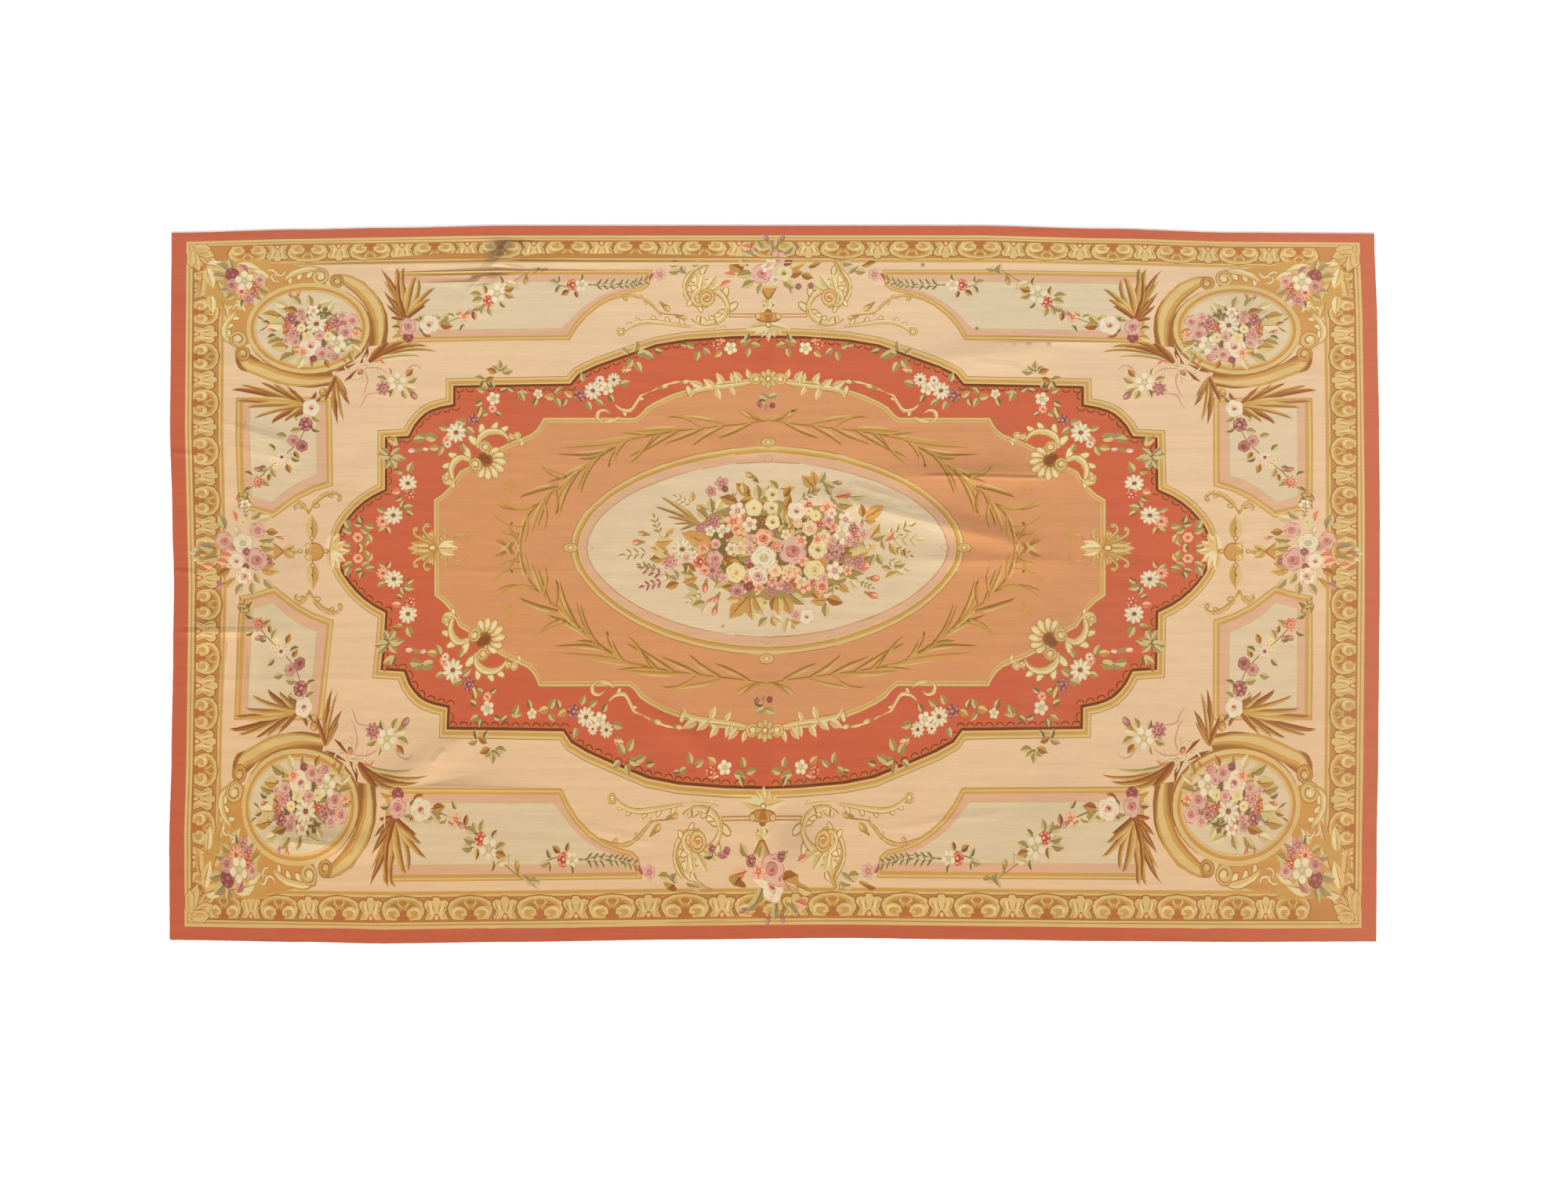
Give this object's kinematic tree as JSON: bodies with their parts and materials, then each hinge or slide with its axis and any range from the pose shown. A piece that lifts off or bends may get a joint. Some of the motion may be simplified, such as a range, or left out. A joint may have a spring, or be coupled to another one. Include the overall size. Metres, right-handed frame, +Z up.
{
  "type": "tapestry-woven floor rug",
  "caption": "Flat rectangular tapestry-woven rug with a bordered floral medallion design, slightly uneven edges and low soft folds, made to lie on a floor.",
  "frame": {"origin": "on the floor under the middle of the rug's bounding box", "axes": "+X along the rug's length, +Y across its width towards the edge that is uppermost in the picture, +Z up from the floor"},
  "size_m": [3.088, 1.832, 0.0141],
  "materials": {
    "wool_weave": "matt wool tapestry weave in cream, pale pink, gold, olive, salmon and brick red"
  },
  "bodies": {
    "root": {"rug_sheet": "wool_weave"}
  },
  "joints": []
}
